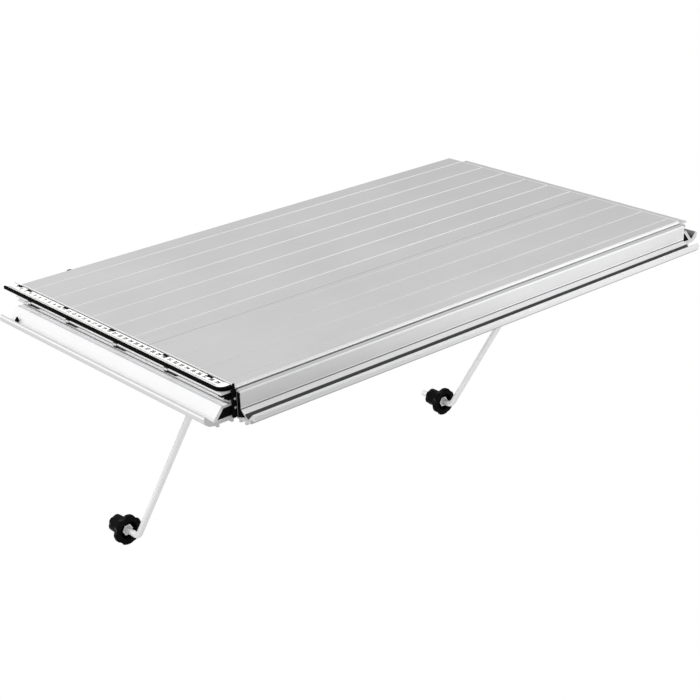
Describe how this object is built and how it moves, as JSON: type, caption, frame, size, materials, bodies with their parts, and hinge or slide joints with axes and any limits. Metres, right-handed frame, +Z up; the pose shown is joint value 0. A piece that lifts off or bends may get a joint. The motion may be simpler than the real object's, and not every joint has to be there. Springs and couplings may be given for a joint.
{
  "type": "saw table extension",
  "caption": "Side extension for a saw table: grooved aluminium deck, channelled edge rails, sliding ruler on the left, and folding bent struts with star knobs.",
  "frame": {"origin": "middle of the saw-side face, on the line through the axes of the two clamp screws, 25 mm below the work surface", "axes": "+X along the deck's long side, to the right as seen from the front; +Y towards the saw, out of the saw-side face; +Z up"},
  "size_m": [0.7686, 0.4471, 0.3514],
  "materials": {
    "deck": "satin anodised extrusion",
    "rail": "satin extrusion",
    "cap": "matt moulded",
    "zinc": "bright zinc",
    "strut": "bright drawn bar",
    "knob": "matt moulded",
    "ruler_black": "semi-gloss",
    "ruler_white": "printed scale"
  },
  "bodies": {
    "table": {"front_plank": "deck", "rear_plank": "deck", "front_rail": "rail", "rear_rail": "rail", "left_rail": "rail", "right_rail": "rail", "left_rail_caps": "cap", "right_rail_caps": "cap", "front_rail_caps": "cap", "corner_strip": "cap", "corner_strip_screws": "zinc", "left_beam": "rail", "right_beam": "rail", "ledge_screws": "zinc", "beam_screws": "zinc", "rear_rail_screws": "zinc", "clamp_screws": "zinc", "locating_lug": "cap", "pivot_bolts": "zinc", "pivot_nuts": "zinc"},
    "left_strut": {"left_strut": "strut"},
    "right_strut": {"right_strut": "strut"},
    "left_knob": {"left_knob": "knob", "left_knob_nut": "zinc"},
    "right_knob": {"right_knob": "knob", "right_knob_nut": "zinc"},
    "ruler": {"ruler_carrier": "ruler_black", "ruler_scale": "ruler_white", "ruler_studs": "ruler_black", "ruler_clips": "cap"}
  },
  "joints": [
    {"name": "left_strut_fold", "type": "hinge", "parent": "table", "child": "left_strut", "pos_m": [-0.268, -0.267, -0.003], "axis": [1, 0, 0], "range_deg": [-32, 54]},
    {"name": "right_strut_fold", "type": "hinge", "parent": "table", "child": "right_strut", "pos_m": [0.268, -0.267, -0.003], "axis": [1, 0, 0], "range_deg": [-32, 54]},
    {"name": "left_knob_turn", "type": "hinge", "parent": "left_strut", "child": "left_knob", "pos_m": [-0.268, -0.043, -0.3046], "axis": [0, 1, 0], "continuous": true},
    {"name": "right_knob_turn", "type": "hinge", "parent": "right_strut", "child": "right_knob", "pos_m": [0.268, -0.051, -0.3046], "axis": [0, 1, 0], "continuous": true},
    {"name": "ruler_slide", "type": "slide", "parent": "table", "child": "ruler", "axis": [0, 1, 0], "range_m": [0, 0.03]}
  ]
}
